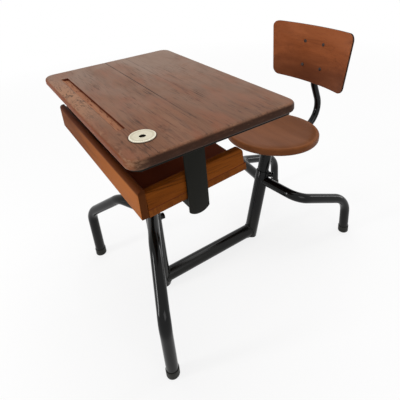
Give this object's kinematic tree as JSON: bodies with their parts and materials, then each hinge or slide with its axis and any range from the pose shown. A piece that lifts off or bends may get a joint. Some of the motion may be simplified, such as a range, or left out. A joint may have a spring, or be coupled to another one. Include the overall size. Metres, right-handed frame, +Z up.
{
  "type": "one-piece school desk and stool",
  "caption": "Pupil's desk on a bent steel tube frame with a fixed wooden top, open book tray, inkwell and an attached round stool with a curved back, both adjustable in height.",
  "frame": {"origin": "on the floor, under the middle of the object's bounding box", "axes": "+Z up; -Y to the front of the desk, where the pen groove is, and +Y to the stool's back; +X to the seated pupil's left, the inkwell's side"},
  "size_m": [0.68, 0.8923, 0.7671],
  "materials": {
    "gloss_paint": "gloss black enamel on steel tube",
    "satin_paint": "satin black paint on flat steel",
    "top_wood": "worn dark stain and varnish",
    "tray_wood": "orange-brown varnish",
    "seat_wood": "satin varnish",
    "back_wood": "satin varnish on plywood",
    "porcelain": "glazed ivory",
    "foot_rubber": "matt black",
    "plug_plastic": "matt black",
    "screw_steel": "dull steel",
    "dark_screw": "blackened steel"
  },
  "bodies": {
    "base": {"desk_sleeve": "gloss_paint", "desk_sleeve_plug": "plug_plastic", "desk_clamp_boss": "gloss_paint", "seat_sleeve": "gloss_paint", "seat_sleeve_plug": "plug_plastic", "seat_clamp_boss": "gloss_paint", "link_tube": "gloss_paint", "desk_leg_left": "gloss_paint", "desk_leg_right": "gloss_paint", "seat_leg_left": "gloss_paint", "seat_leg_right": "gloss_paint", "desk_foot_cap_left": "foot_rubber", "desk_foot_cap_right": "foot_rubber", "seat_foot_cap_left": "foot_rubber", "seat_foot_cap_right": "foot_rubber"},
    "desk_top": {"desk_inner_tube": "gloss_paint", "cross_channel": "satin_paint", "channel_screws": "screw_steel", "side_plate_left": "satin_paint", "side_plate_right": "satin_paint", "top_rail_left": "satin_paint", "top_rail_right": "satin_paint", "rail_screws": "screw_steel", "top_board_front": "top_wood", "top_board_middle": "top_wood", "top_board_rear": "top_wood", "tray_bottom_board": "tray_wood", "tray_side_left": "tray_wood", "tray_side_right": "tray_wood", "tray_front_board": "tray_wood", "front_stay": "satin_paint", "stay_screws": "screw_steel"},
    "inkwell": {"inkwell": "porcelain"},
    "stool": {"seat_stem": "gloss_paint", "seat_plate": "satin_paint", "seat_screws": "screw_steel", "seat_disc": "seat_wood", "back_tube": "gloss_paint", "back_strap_upper": "satin_paint", "back_strap_lower": "satin_paint", "backrest": "back_wood", "back_screws": "dark_screw", "back_nuts": "screw_steel"},
    "desk_clamp": {"desk_clamp_screw": "gloss_paint"},
    "seat_clamp": {"seat_clamp_screw": "gloss_paint"}
  },
  "joints": [
    {"name": "desk_height", "type": "slide", "parent": "base", "child": "desk_top", "axis": [0, 0, 1], "range_m": [-0.06, 0.1]},
    {"name": "seat_height", "type": "slide", "parent": "base", "child": "stool", "axis": [0, 0.2588, 0.9659], "range_m": [-0.06, 0.08]},
    {"name": "inkwell_lift", "type": "slide", "parent": "desk_top", "child": "inkwell", "axis": [0, 0, 1], "range_m": [0, 0.06]},
    {"name": "desk_clamp_turn", "type": "hinge", "parent": "base", "child": "desk_clamp", "pos_m": [0, -0.29115, 0.279], "axis": [0, 1, 0], "range_deg": [-180, 0]},
    {"name": "seat_clamp_turn", "type": "hinge", "parent": "base", "child": "seat_clamp", "pos_m": [0, 0.15245, 0.26539], "axis": [0.7071, 0.683, -0.183], "range_deg": [-180, 0]}
  ]
}
